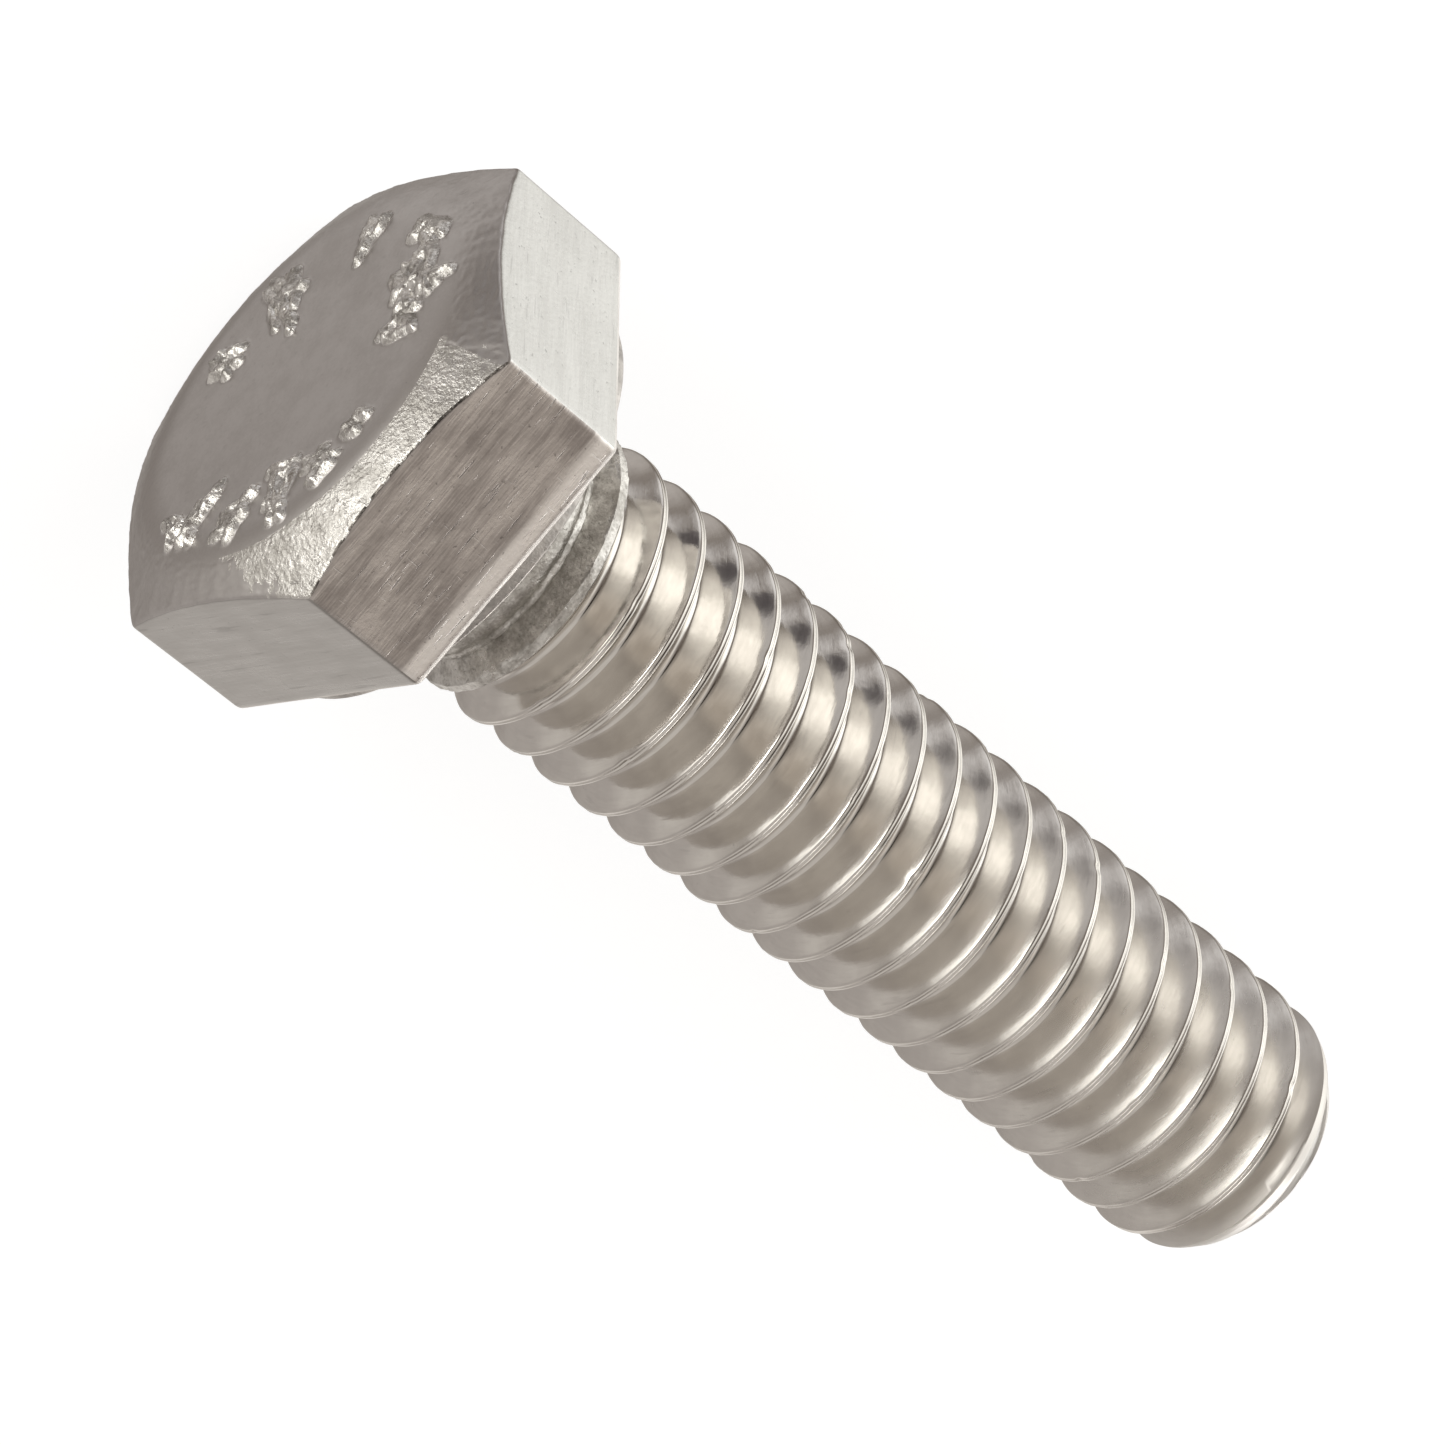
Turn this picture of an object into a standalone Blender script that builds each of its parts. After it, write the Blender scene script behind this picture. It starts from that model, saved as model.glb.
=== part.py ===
"""Hex cap screw, 5/16-18 UNC x 1-1/4 in, threaded along its whole shank.

The screw lies along X with its head towards -X. One wrench flat faces +Z and the opposite one
faces -Z. The origin is at the middle of the screw's overall length, on its axis. Units are metres.

The real screw is one forging. It is made here as its two functional parts, the head and the
threaded shank, which meet on one plane in the plain neck under the head.
"""

from math import cos, pi, radians, tan

import bmesh
import bpy
from mathutils import Matrix, Vector

MM = 0.001
INCH = 0.0254

# Head
ACROSS_FLATS = 0.5 * INCH
HEAD_HEIGHT = 13 / 64 * INCH
CHAMFER_ANGLE = radians(25)
TOP_CIRCLE_INSET = 1.05 * MM  # from a flat to the circle where the chamfer meets the top
WASHER_FACE_HEIGHT = 0.4 * MM
WASHER_FACE_INSET = 0.3 * MM  # from a flat to the rim of the washer face
RIM_ROUND = 0.08 * MM
FILLET_RADIUS = 0.5 * MM

# Shank
SHANK_LENGTH = 1.25 * INCH
MAJOR_DIAMETER = 7.85 * MM
NECK_DIAMETER = 7.0 * MM
NECK_ABOVE_SPLIT = 0.25 * MM  # plain neck between the fillet and the split
NECK_BELOW_SPLIT = 0.95 * MM  # plain neck between the split and the thread's run-out
PITCH = INCH / 18
THREAD_DEPTH_SHARE = 0.6134  # depth of an external unified thread, per pitch
CREST_FLAT_SHARE = 1 / 8
ROOT_FLAT_SHARE = 1 / 6
RUN_OUT_PITCHES = 1.0
THREAD_START_ANGLE = radians(219)

# Point
POINT_END_DIAMETER = 6.1 * MM
POINT_ANGLE = radians(30)

# Facets
TURNED_STEPS = 48
THREAD_STEPS = 20
FILLET_STEPS = 5
SPARE = 1.0 * MM  # how far a tool body reaches past the surface that it cuts

# Derived places, measured from the bearing face towards the point
THREAD_DEPTH = THREAD_DEPTH_SHARE * PITCH
MINOR_DIAMETER = MAJOR_DIAMETER - 2 * THREAD_DEPTH
CORNER_RADIUS = ACROSS_FLATS / 2 / cos(pi / 6)
TOP_CIRCLE_RADIUS = ACROSS_FLATS / 2 - TOP_CIRCLE_INSET
WASHER_FACE_RADIUS = ACROSS_FLATS / 2 - WASHER_FACE_INSET
SPLIT = FILLET_RADIUS + NECK_ABOVE_SPLIT
MIDDLE = (SHANK_LENGTH - HEAD_HEIGHT) / 2


def clear_scene():
    """Removes every object of the scene."""
    for obj in list(bpy.data.objects):
        bpy.data.objects.remove(obj, do_unlink=True)


def new_collection(name):
    """A collection linked to the scene."""
    collection = bpy.data.collections.new(name)
    bpy.context.scene.collection.children.link(collection)
    return collection


def steel(name, colour, roughness):
    """A metallic Principled BSDF material."""
    material = bpy.data.materials.new(name)
    material.use_nodes = True
    shader = material.node_tree.nodes["Principled BSDF"]
    shader.inputs["Base Color"].default_value = (*colour, 1.0)
    shader.inputs["Metallic"].default_value = 1.0
    shader.inputs["Roughness"].default_value = roughness
    return material


def mesh_object(name, mesh, collection):
    """An object that holds the mesh, in the collection."""
    obj = bpy.data.objects.new(name, mesh)
    collection.objects.link(obj)
    return obj


def as_cutter(obj):
    """Marks an object as a tool body that isn't part of the screw."""
    obj.hide_render = True
    obj.display_type = "WIRE"
    return obj


def screwed(name, points, collection, steps, pitch=0.0, turns=1):
    """A profile of (radius, place along the axis) points swept round local Z by a Screw modifier."""
    work = bmesh.new()
    corners = [work.verts.new((radius, 0.0, place)) for radius, place in points]
    for first, second in zip(corners, corners[1:]):
        work.edges.new((first, second))
    mesh = bpy.data.meshes.new(name)
    work.to_mesh(mesh)
    work.free()
    obj = mesh_object(name, mesh, collection)
    sweep = obj.modifiers.new("sweep", "SCREW")
    sweep.axis = "Z"
    sweep.angle = 2 * pi
    sweep.screw_offset = pitch
    sweep.iterations = turns
    sweep.steps = steps
    sweep.render_steps = steps
    sweep.use_merge_vertices = True
    sweep.merge_threshold = 1e-6
    return obj


def frozen(obj):
    """Applies the object's modifiers, so that its mesh is the shape that they make."""
    bpy.context.view_layer.update()
    graph = bpy.context.evaluated_depsgraph_get()
    mesh = bpy.data.meshes.new_from_object(obj.evaluated_get(graph))
    old = obj.data
    obj.modifiers.clear()
    obj.data = mesh
    bpy.data.meshes.remove(old)
    return obj


def boolean(obj, other, operation):
    """Adds an exact Boolean of the other object."""
    modifier = obj.modifiers.new(operation.lower(), "BOOLEAN")
    modifier.operation = operation
    modifier.object = other
    modifier.solver = "EXACT"
    return modifier


def lay_along_x(obj):
    """Turns local Z to world X and local X to world Z, and puts the bearing face at its place."""
    turn = Matrix(((0, 0, 1), (0, -1, 0), (1, 0, 0))).to_4x4()
    obj.matrix_world = Matrix.Translation(Vector((-MIDDLE, 0, 0))) @ turn


def finish(obj, material):
    """Gives the object its material and shades its round faces smooth."""
    obj.data.materials.clear()
    obj.data.materials.append(material)
    obj.data.shade_smooth()
    obj.data.set_sharp_from_angle(angle=radians(28))


def fillet_points():
    """The hollow fillet from the bearing face in to the neck."""
    neck = NECK_DIAMETER / 2
    points = []
    for step in range(FILLET_STEPS + 1):
        angle = pi / 2 * step / FILLET_STEPS
        across = neck + FILLET_RADIUS * (1 - cos(pi / 2 - angle))
        along = FILLET_RADIUS * (1 - cos(angle))
        points.append((across, along))
    return points


def hex_prism(collection):
    """The head's six flats before the chamfer. The primitive's first corner is on local +Y."""
    height = HEAD_HEIGHT - WASHER_FACE_HEIGHT
    work = bmesh.new()
    bmesh.ops.create_cone(
        work,
        cap_ends=True,
        segments=6,
        radius1=CORNER_RADIUS,
        radius2=CORNER_RADIUS,
        depth=height,
        matrix=Matrix.Translation((0, 0, -WASHER_FACE_HEIGHT - height / 2)),
    )
    mesh = bpy.data.meshes.new("hex_head")
    work.to_mesh(mesh)
    work.free()
    return mesh_object("hex_head", mesh, collection)


def chamfer_envelope(collection):
    """A turned body that holds the head below its chamfer cone."""
    reach = CORNER_RADIUS + SPARE
    drop = (reach - TOP_CIRCLE_RADIUS) * tan(CHAMFER_ANGLE)
    points = [
        (0.0, SPARE),
        (reach, SPARE),
        (reach, -HEAD_HEIGHT + drop),
        (TOP_CIRCLE_RADIUS, -HEAD_HEIGHT),
        (0.0, -HEAD_HEIGHT),
    ]
    envelope = screwed("chamfer_envelope", points, collection, TURNED_STEPS)
    return as_cutter(frozen(envelope))


def under_head(collection):
    """The washer face, the fillet and the first stretch of the neck, as one turned body."""
    rim = WASHER_FACE_RADIUS
    neck = NECK_DIAMETER / 2
    points = [(0.0, SPLIT), (neck, SPLIT)]
    points += [point for point in reversed(fillet_points())]
    points += [
        (rim - RIM_ROUND, 0.0),
        (rim, -RIM_ROUND),
        (rim, -WASHER_FACE_HEIGHT - SPARE),
        (0.0, -WASHER_FACE_HEIGHT - SPARE),
    ]
    return as_cutter(frozen(screwed("under_head", points, collection, TURNED_STEPS)))


def build_head(parts, tools):
    """The hex head with its chamfer, washer face, fillet and neck stub."""
    head = hex_prism(parts)
    boolean(head, chamfer_envelope(tools), "INTERSECT")
    boolean(head, under_head(tools), "UNION")
    return frozen(head)


def thread_profile(start):
    """One pitch of the thread's outline, running down its outer side from one root to the next."""
    minor = MINOR_DIAMETER / 2
    major = MAJOR_DIAMETER / 2
    root = ROOT_FLAT_SHARE * PITCH / 2
    crest = CREST_FLAT_SHARE * PITCH / 2
    middle = start + PITCH / 2
    return [
        (minor, start + PITCH),
        (minor, start + PITCH - root),
        (major, middle + crest),
        (major, middle - crest),
        (minor, start + root),
        (minor, start),
    ]


def thread_body(collection):
    """The full-depth helical body between two flat ends."""
    start = -2 * PITCH
    turns = int((SHANK_LENGTH - start) / PITCH) + 3
    body = screwed("threaded_shank", thread_profile(start), collection, THREAD_STEPS, PITCH, turns)
    frozen(body)
    work = bmesh.new()
    work.from_mesh(body.data)
    bmesh.ops.remove_doubles(work, verts=work.verts, dist=1e-6)
    bmesh.ops.rotate(work, verts=work.verts, matrix=Matrix.Rotation(THREAD_START_ANGLE, 3, "Z"))
    for place, outward in ((SPLIT - SPARE / 4, -1), (SHANK_LENGTH + SPARE / 4, 1)):
        cut = bmesh.ops.bisect_plane(
            work,
            geom=work.verts[:] + work.edges[:] + work.faces[:],
            dist=1e-8,
            plane_co=(0, 0, place),
            plane_no=(0, 0, outward),
            clear_outer=True,
        )
        rim = [item for item in cut["geom_cut"] if isinstance(item, bmesh.types.BMEdge)]
        bmesh.ops.contextual_create(work, geom=rim)
    bmesh.ops.recalc_face_normals(work, faces=work.faces)
    work.to_mesh(body.data)
    work.free()
    return body


def run_out_core(collection):
    """The blank's neck, which the thread's roots sink into over the run-out."""
    neck = NECK_DIAMETER / 2
    minor = MINOR_DIAMETER / 2 - SPARE / 10
    plain_end = SPLIT + NECK_BELOW_SPLIT
    points = [
        (0.0, plain_end + RUN_OUT_PITCHES * PITCH),
        (minor, plain_end + RUN_OUT_PITCHES * PITCH),
        (neck, plain_end),
        (neck, SPLIT - SPARE),
        (0.0, SPLIT - SPARE),
    ]
    return as_cutter(frozen(screwed("run_out_core", points, collection, TURNED_STEPS)))


def shank_envelope(collection):
    """The turned outline of the whole shank: flat end, point, crests, run-out slope and neck."""
    neck = NECK_DIAMETER / 2
    major = MAJOR_DIAMETER / 2
    end = POINT_END_DIAMETER / 2
    clear = major + SPARE / 4
    point_length = (clear - end) / tan(POINT_ANGLE)
    plain_end = SPLIT + NECK_BELOW_SPLIT
    rise = (clear - neck) * RUN_OUT_PITCHES * PITCH / (2 * (major - neck))
    points = [
        (0.0, SHANK_LENGTH),
        (end, SHANK_LENGTH),
        (clear, SHANK_LENGTH - point_length),
        (clear, plain_end + rise),
        (neck, plain_end),
        (neck, SPLIT),
        (0.0, SPLIT),
    ]
    return as_cutter(frozen(screwed("shank_envelope", points, collection, TURNED_STEPS)))


def build_shank(parts, tools):
    """The threaded shank from the split in the neck to the flat end of the point."""
    shank = thread_body(parts)
    boolean(shank, run_out_core(tools), "UNION")
    boolean(shank, shank_envelope(tools), "INTERSECT")
    return frozen(shank)


def main():
    """Builds the screw."""
    clear_scene()
    parts = new_collection("hex_bolt")
    tools = new_collection("tools")
    head = build_head(parts, tools)
    finish(head, steel("forged_steel", (0.55, 0.53, 0.51), 0.34))
    lay_along_x(head)
    shank = build_shank(parts, tools)
    finish(shank, steel("rolled_steel", (0.62, 0.60, 0.57), 0.22))
    lay_along_x(shank)


main()
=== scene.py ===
"""Looks of a stainless hex bolt: forged hexagon head, rolled full-length thread, chamfered point.

The bolt lies along X with its head towards -X and one wrench flat facing +Z. Every length is in
metres. The head and the shank are each one turned-and-shaped skin, worked out from a few sizes.
"""

import logging
from dataclasses import dataclass, field
from enum import Enum
from math import atan, cos, pi, radians, sin, tan
from typing import Sequence

import bmesh
import bpy
import numpy as np
from mathutils import Matrix, Vector, noise


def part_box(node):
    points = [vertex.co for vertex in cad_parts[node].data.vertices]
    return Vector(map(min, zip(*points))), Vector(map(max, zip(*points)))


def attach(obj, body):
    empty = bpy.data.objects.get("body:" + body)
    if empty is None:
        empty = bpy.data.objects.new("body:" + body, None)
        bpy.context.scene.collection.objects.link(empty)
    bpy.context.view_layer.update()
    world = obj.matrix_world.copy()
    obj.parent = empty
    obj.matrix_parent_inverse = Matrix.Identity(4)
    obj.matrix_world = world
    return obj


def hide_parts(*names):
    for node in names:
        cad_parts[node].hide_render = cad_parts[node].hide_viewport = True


log = logging.getLogger("hex_bolt")
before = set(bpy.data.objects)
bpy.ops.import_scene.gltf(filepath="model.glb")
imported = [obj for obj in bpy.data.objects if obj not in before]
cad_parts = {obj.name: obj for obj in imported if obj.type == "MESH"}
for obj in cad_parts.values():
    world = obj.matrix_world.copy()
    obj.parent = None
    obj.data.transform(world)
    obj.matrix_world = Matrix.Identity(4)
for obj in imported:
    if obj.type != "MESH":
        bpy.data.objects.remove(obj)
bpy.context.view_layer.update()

MM = 0.001
MICRON = 0.000001
INCH = 0.0254
HEAD_HEIGHT = 13 / 64 * INCH
LOWER_EDGE_TO_BEARING = 0.6 * MM
LAST_CREST_TO_END = 1.1 * MM
AIM_X = -2.96 * MM
FLOOR_HALF = 3.0


class Grain(Enum):
    """The direction in which a surface's fine lines run."""

    NONE = (1.0, 1.0, 1.0)
    ROUND_THE_AXIS = (14.0, 1.0, 1.0)
    ALONG_THE_AXIS = (1.0, 9.0, 9.0)


class Zone(Enum):
    """The parts of the head with a finish of their own; the lip carries a painted highlight and the shaded
    side painted shade. The value is the material slot's place.
    """

    TOP = 0
    CHAMFER = 1
    FLAT = 2
    UNDERSIDE = 3
    MARK = 4
    BURR = 5
    SIDE = 6
    LIP = 7
    SHADED_SIDE = 8


class ThreadZone(Enum):
    """The parts of the shank with a finish of their own. The value is the material slot's place."""

    ROLLED = 0
    ROUGH_START = 1


class NodeBench:
    """Puts shader nodes on a material and joins them, with the plain words of this file."""

    def __init__(self, name: str) -> None:
        """Starts an empty material.

        Args:
            name: the material's name.
        """
        self.material = bpy.data.materials.new(name)
        self.material.use_nodes = True
        self.tree = self.material.node_tree
        self.shader = self.tree.nodes["Principled BSDF"]
        self.place = self.add("ShaderNodeTexCoord").outputs["Object"]

    def add(self, kind: str, **settings: object) -> bpy.types.Node:
        """Adds one node.

        Args:
            kind: the node's type name.
            settings: properties to set on it.

        Returns:
            The new node.
        """
        node = self.tree.nodes.new(kind)
        for key, value in settings.items():
            setattr(node, key, value)
        return node

    def feed(self, socket: bpy.types.NodeSocket, source: object) -> None:
        """Joins a source to a socket, or sets the socket where the source is a number.

        Args:
            socket: the socket to fill.
            source: an output socket, a number or a tuple of numbers.
        """
        if isinstance(source, bpy.types.NodeSocket):
            self.tree.links.new(source, socket)
        else:
            socket.default_value = source

    def stretched(self, grain: Grain, shift: float = 0.0) -> bpy.types.NodeSocket:
        """The place on the bolt, stretched along a grain.

        Args:
            grain: the direction of the lines.
            shift: an offset, so that two layers differ.

        Returns:
            A vector socket.
        """
        mapping = self.add("ShaderNodeMapping")
        mapping.inputs["Scale"].default_value = grain.value
        mapping.inputs["Location"].default_value = (shift, shift * 0.7, -shift)
        self.feed(mapping.inputs["Vector"], self.place)
        return mapping.outputs["Vector"]

    def speckle(self, size: float, detail: float = 3.0, grain: Grain = Grain.NONE,
                shift: float = 0.0, rough: float = 0.55) -> bpy.types.NodeSocket:
        """A noise whose features are about the given size.

        Args:
            size: feature size across the lines, or overall, in metres.
            detail: octaves.
            grain: the direction of the lines.
            shift: an offset between layers.
            rough: how strong the finer octaves are.

        Returns:
            A value socket from 0 to 1.
        """
        node = self.add("ShaderNodeTexNoise")
        stretch = max(grain.value)
        node.inputs["Scale"].default_value = 1.0 / (size * stretch)
        node.inputs["Detail"].default_value = detail
        node.inputs["Roughness"].default_value = rough
        self.feed(node.inputs["Vector"], self.stretched(grain, shift))
        return node.outputs["Fac"]

    def ramp(self, source: bpy.types.NodeSocket, low: float, high: float,
             to_low: float = 0.0, to_high: float = 1.0) -> bpy.types.NodeSocket:
        """A smooth step between two levels.

        Args:
            source: the value to read.
            low: where the step starts.
            high: where it ends.
            to_low: the result before it.
            to_high: the result after it.

        Returns:
            A value socket.
        """
        node = self.add("ShaderNodeMapRange", interpolation_type="SMOOTHSTEP")
        self.feed(node.inputs["Value"], source)
        node.inputs["From Min"].default_value = low
        node.inputs["From Max"].default_value = high
        node.inputs["To Min"].default_value = to_low
        node.inputs["To Max"].default_value = to_high
        return node.outputs["Result"]

    def along(self) -> bpy.types.NodeSocket:
        """The place along the bolt's axis, in metres from its middle."""
        split = self.add("ShaderNodeSeparateXYZ")
        self.feed(split.inputs["Vector"], self.place)
        return split.outputs["X"]

    def sum(self, first: object, second: object, operation: str = "ADD") -> bpy.types.NodeSocket:
        """Two values joined by one operation.

        Args:
            first: a value or socket.
            second: a value or socket.
            operation: the math node's operation.

        Returns:
            A value socket.
        """
        node = self.add("ShaderNodeMath", operation=operation)
        self.feed(node.inputs[0], first)
        self.feed(node.inputs[1], second)
        return node.outputs["Value"]

    def tint(self, share: bpy.types.NodeSocket, first: object, second: object) -> bpy.types.NodeSocket:
        """A colour between two.

        Args:
            share: how much of the second.
            first: a colour or socket.
            second: a colour or socket.

        Returns:
            A colour socket.
        """
        node = self.add("ShaderNodeMix", data_type="RGBA")
        self.feed(node.inputs["Factor"], share)
        self.feed(node.inputs["A"], first)
        self.feed(node.inputs["B"], second)
        return node.outputs["Result"]

    def bump(self, height: bpy.types.NodeSocket, depth: float,
             under: bpy.types.NodeSocket | None = None) -> bpy.types.NodeSocket:
        """A height turned into a normal.

        Args:
            height: a value from 0 to 1.
            depth: the height of 1, in metres.
            under: a normal to start from.

        Returns:
            A normal socket.
        """
        node = self.add("ShaderNodeBump")
        node.inputs["Strength"].default_value = 1.0
        node.inputs["Distance"].default_value = depth
        self.feed(node.inputs["Height"], height)
        if under is not None:
            self.feed(node.inputs["Normal"], under)
        return node.outputs["Normal"]


Colour = tuple[float, float, float]


def opaque(colour: Colour) -> tuple[float, float, float, float]:
    """The colour with full alpha."""
    return (*colour, 1.0)


@dataclass(frozen=True)
class Dulling:
    """A stretch of the axis over which a surface loses some of its gloss."""

    start: float
    end: float
    roughness: float


@dataclass(frozen=True)
class PaleStretch:
    """A stretch of the axis over which a surface turns to a paler tone: a painted highlight along the upper
    flat's lower edge, and a paler end on the point.
    """

    start: float
    end: float
    tone: Colour


@dataclass(frozen=True)
class SteelFinish:
    """A bare stainless surface.

    Attributes:
        name: the material's name.
        pale, deep: its lightest and darkest tones.
        gloss_low, gloss_high: its least and most roughness.
        grain: the direction of its fine lines.
        line_size, line_depth: the width and the depth of those lines.
        pit_size, pit_depth: the width and the depth of its pits.
        patch_size: the size of the cloudy patches in its tone.
        scratches: how strong the cuts are, along the lines and across them.
        pit_level: how much of the surface the dark pits take.
        wave_depth: the depth of the shallow waves that the patches make.
        dulls: where it loses gloss along the axis.
        pale_stretch: where it turns to a paler tone along the axis.
    """

    name: str
    pale: Colour
    deep: Colour
    gloss_low: float
    gloss_high: float
    grain: Grain
    line_size: float
    line_depth: float
    pit_size: float
    pit_depth: float
    patch_size: float = 1.4 * MM
    scratches: float = 0.5
    pit_level: float = 0.24
    wave_depth: float = 0.0
    dulls: tuple[Dulling, ...] = ()
    pale_stretch: PaleStretch | None = None

    def cuts(self, bench: NodeBench) -> bpy.types.NodeSocket:
        """The scratches: long ones along the grain, and fainter ones across it.

        Args:
            bench: the material's nodes.

        Returns:
            A value socket, 0 where there is none.
        """
        along = bench.ramp(bench.speckle(self.line_size * 2.2, 2.0, self.grain, 0.53), 0.64, 0.70)
        cross = bench.speckle(self.line_size * 1.6, 2.0, Grain.ALONG_THE_AXIS, 0.91)
        faint = bench.sum(bench.ramp(cross, 0.68, 0.74), 0.5, "MULTIPLY")
        return bench.sum(bench.sum(along, faint), self.scratches, "MULTIPLY")

    def paled(self, bench: NodeBench, colour: bpy.types.NodeSocket,
             bands: bpy.types.NodeSocket) -> bpy.types.NodeSocket:
        """The colour, turned to the paler tone with a ragged edge over the pale stretch.

        Args:
            bench: the material's nodes.
            colour: the colour so far.
            bands: the noise that makes the edge ragged.

        Returns:
            A colour socket.
        """
        if self.pale_stretch is None:
            return colour
        ragged = bench.sum(bench.sum(bands, 0.5, "SUBTRACT"), 0.5 * MM, "MULTIPLY")
        share = bench.ramp(bench.sum(bench.along(), ragged), self.pale_stretch.start, self.pale_stretch.end)
        return bench.tint(share, colour, opaque(self.pale_stretch.tone))

    def material(self) -> bpy.types.Material:
        """Builds the material.

        Returns:
            The material, with its tones, roughness and relief from nodes.
        """
        bench = NodeBench(self.name)
        lines = bench.speckle(self.line_size, 4.0, self.grain)
        bands = bench.speckle(self.line_size * 6, 3.0, self.grain, 0.17)
        patches = bench.speckle(self.patch_size, 2.0, shift=0.31)
        pits = bench.speckle(self.pit_size, 3.0, shift=0.77, rough=0.6)
        cut = self.cuts(bench)
        tone = bench.sum(bench.sum(lines, 0.3, "MULTIPLY"), bench.sum(patches, 0.35, "MULTIPLY"))
        tone = bench.sum(tone, bench.sum(bands, 0.35, "MULTIPLY"))
        shade = bench.ramp(tone, 0.38, 0.62)
        colour = bench.tint(shade, opaque(self.deep), opaque(self.pale))
        dark = tuple(0.45 * part for part in self.deep)
        colour = self.paled(bench, colour, bands)
        specks = bench.ramp(pits, self.pit_level, self.pit_level + 0.07, 0.6, 0.0)
        colour = bench.tint(specks, colour, opaque(dark))
        colour = bench.tint(bench.sum(cut, 0.35, "MULTIPLY"), colour, opaque(dark))
        bench.feed(bench.shader.inputs["Base Color"], colour)
        gloss = bench.ramp(tone, 0.3, 0.7, self.gloss_high, self.gloss_low)
        for dull in self.dulls:
            gloss = bench.sum(gloss, bench.ramp(bench.along(), dull.start, dull.end, 0.0, dull.roughness))
        bench.feed(bench.shader.inputs["Roughness"], bench.sum(gloss, bench.sum(cut, 0.12, "MULTIPLY")))
        bench.shader.inputs["Metallic"].default_value = 1.0
        relief = bench.bump(pits, self.pit_depth)
        if self.wave_depth:
            relief = bench.bump(patches, self.wave_depth, relief)
        relief = bench.bump(lines, self.line_depth, relief)
        relief = bench.bump(bench.sum(1.0, cut, "SUBTRACT"), self.line_depth * 1.6, relief)
        bench.feed(bench.shader.inputs["Normal"], relief)
        return bench.material


@dataclass
class Skin:
    """A closed skin round the X axis: rings of points, one ring a row, from one end to the other."""

    name: str
    rows: list[np.ndarray] = field(default_factory=list)
    zones: list[int] = field(default_factory=list)

    def add_row(self, points: np.ndarray, zone: Zone | ThreadZone) -> None:
        """Adds a ring.

        Args:
            points: an array of (x, y, z), one for each column.
            zone: the finish of the band that ends at this ring.
        """
        self.rows.append(points)
        self.zones.append(zone.value)

    def build(self, seam: int = 0, sharp_degrees: float = 40.0) -> bpy.types.Object:
        """Makes the mesh, with a point at each end of the axis.

        Args:
            seam: how many rows the skin climbs in one turn.
            sharp_degrees: edges that turn more than this are drawn sharp.

        Returns:
            The object.
        """
        columns = len(self.rows[0])
        points = np.concatenate(self.rows)
        mesh = bpy.data.meshes.new(self.name)
        last = len(self.rows) - 1
        faces = []
        marks = []
        for row in range(last):
            for column in range(columns):
                after = column + 1
                climb = 0
                if after == columns:
                    after = 0
                    climb = seam
                low = min(row + climb, last)
                high = min(row + 1 + climb, last)
                corners = [row * columns + column, low * columns + after,
                           high * columns + after, (row + 1) * columns + column]
                faces.append(corners)
                marks.append(self.zones[row + 1])
        mesh.from_pydata(points.tolist(), [], faces)
        mesh.polygons.foreach_set("material_index", marks)
        work = bmesh.new()
        work.from_mesh(mesh)
        bmesh.ops.remove_doubles(work, verts=work.verts, dist=0.4 * MICRON)
        bmesh.ops.dissolve_degenerate(work, edges=work.edges, dist=0.2 * MICRON)
        open_edges = [edge for edge in work.edges if edge.is_boundary]
        if open_edges:
            bmesh.ops.holes_fill(work, edges=open_edges, sides=0)
        bmesh.ops.recalc_face_normals(work, faces=work.faces)
        work.to_mesh(mesh)
        work.free()
        mesh.shade_smooth()
        mesh.set_sharp_from_angle(angle=radians(sharp_degrees))
        obj = bpy.data.objects.new(self.name, mesh)
        bpy.context.scene.collection.objects.link(obj)
        return obj


def grit(points: np.ndarray, size: float, offset: float = 0.0) -> np.ndarray:
    """Smooth noise at each point.

    Args:
        points: an array of (x, y, z).
        size: the size of its features, in metres.
        offset: moves the pattern, so that two layers differ.

    Returns:
        A value from -1 to 1 for each point.
    """
    shift = Vector((offset, -offset, 2 * offset))
    return np.array([noise.noise(Vector(point) / size + shift) for point in points])


@dataclass(frozen=True)
class Unevenness:
    """A layer of smooth noise: the size of its features, its height and where its pattern starts."""

    size: float
    height: float
    offset: float

    def at(self, points: np.ndarray) -> np.ndarray:
        """The height at each point.

        Args:
            points: an array of (x, y, z).

        Returns:
            A value from minus the height to the height, for each point.
        """
        return grit(points, self.size, self.offset) * self.height


def face_centres(obj: bpy.types.Object) -> np.ndarray:
    """The middle of each face.

    Args:
        obj: the piece.

    Returns:
        An array of (x, y, z).
    """
    centres = np.empty(len(obj.data.polygons) * 3)
    obj.data.polygons.foreach_get("center", centres)
    return centres.reshape(-1, 3)


def round_corner(before: np.ndarray, corner: np.ndarray, after: np.ndarray,
                 reach: float, steps: int) -> list[np.ndarray]:
    """A corner of an outline rounded off.

    Args:
        before: the outline's point before the corner, for each column.
        corner: the corner.
        after: the point after it.
        reach: how far from the corner the round starts.
        steps: segments in the round.

    Returns:
        The points of the round, for each column.
    """
    def towards(other: np.ndarray) -> np.ndarray:
        """The point a reach away on one side, or most of the way where that side is short."""
        side = other - corner
        length = np.linalg.norm(side, axis=1)[:, None]
        return corner + side * np.minimum(reach / length, 0.8)

    start = towards(before)
    end = towards(after)
    shares = [step / steps for step in range(steps + 1)]
    return [(1 - s) ** 2 * start + 2 * s * (1 - s) * corner + s**2 * end for s in shares]


def straight(first: np.ndarray, second: np.ndarray, steps: int) -> list[np.ndarray]:
    """Points between two, without either end.

    Args:
        first: the outline's point at the start, for each column.
        second: the one at the end.
        steps: segments in the stretch.

    Returns:
        The points between.
    """
    return [first + (second - first) * step / steps for step in range(1, steps)]


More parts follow.
